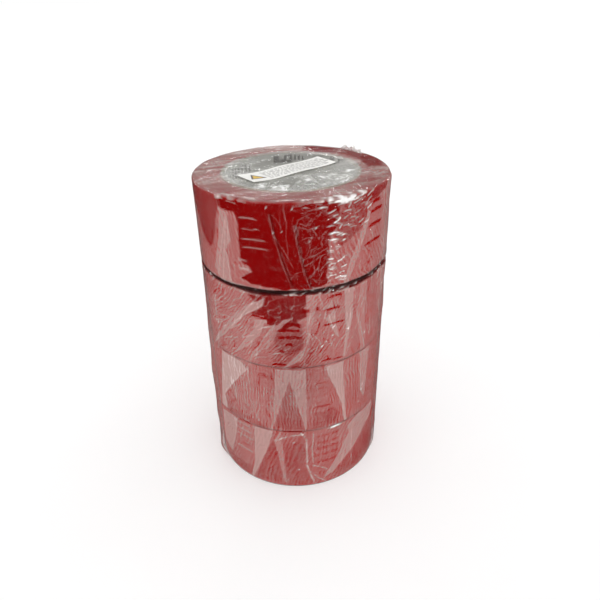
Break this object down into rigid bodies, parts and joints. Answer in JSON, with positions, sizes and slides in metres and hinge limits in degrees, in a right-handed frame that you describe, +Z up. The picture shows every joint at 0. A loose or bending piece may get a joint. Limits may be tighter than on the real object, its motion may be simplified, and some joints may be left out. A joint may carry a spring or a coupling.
{
  "type": "shrink-wrapped tape roll stack",
  "caption": "Stack of equal red plastic tape rolls on paperboard cores, shrink-wrapped in clear film with a paper label across the top core mouth.",
  "frame": {"origin": "on the floor, under the middle of the stack, at the centre of the bottom of its box", "axes": "+Z up along the common axis of the four cores; -Y faces the front of the pack, +X is its right"},
  "size_m": [0.1156, 0.1156, 0.2082],
  "materials": {
    "red_tape": "gloss",
    "core_liner": "matte",
    "core_board": "matte",
    "clear_film": "gloss",
    "label_paper": "matte"
  },
  "bodies": {
    "roll_4": {"roll_4_core_liner": "core_liner", "roll_4_core_inner_ply": "core_board", "roll_4_core_outer_ply": "core_board", "roll_4_tape_winding": "red_tape", "roll_4_tape_end": "red_tape", "film_bottom_end": "clear_film"},
    "roll_3": {"roll_3_core_liner": "core_liner", "roll_3_core_inner_ply": "core_board", "roll_3_core_outer_ply": "core_board", "roll_3_tape_winding": "red_tape", "roll_3_tape_end": "red_tape"},
    "roll_2": {"roll_2_core_liner": "core_liner", "roll_2_core_inner_ply": "core_board", "roll_2_core_outer_ply": "core_board", "roll_2_tape_winding": "red_tape", "roll_2_tape_end": "red_tape"},
    "roll_1": {"roll_1_core_liner": "core_liner", "roll_1_core_inner_ply": "core_board", "roll_1_core_outer_ply": "core_board", "roll_1_tape_winding": "red_tape", "roll_1_tape_end": "red_tape"},
    "film": {"film_sleeve": "clear_film", "film_top_end": "clear_film", "film_seal": "clear_film", "film_ear": "clear_film", "film_label": "label_paper"}
  },
  "joints": [
    {"name": "roll_3_lift", "type": "slide", "parent": "roll_4", "child": "roll_3", "axis": [0, 0, 1], "range_m": [0, 0.06]},
    {"name": "roll_2_lift", "type": "slide", "parent": "roll_3", "child": "roll_2", "axis": [0, 0, 1], "range_m": [0, 0.06]},
    {"name": "roll_1_lift", "type": "slide", "parent": "roll_2", "child": "roll_1", "axis": [0, 0, 1], "range_m": [0, 0.06]},
    {"name": "film_pull_off", "type": "slide", "parent": "roll_1", "child": "film", "axis": [0, 0, 1], "range_m": [0, 0.21]}
  ]
}
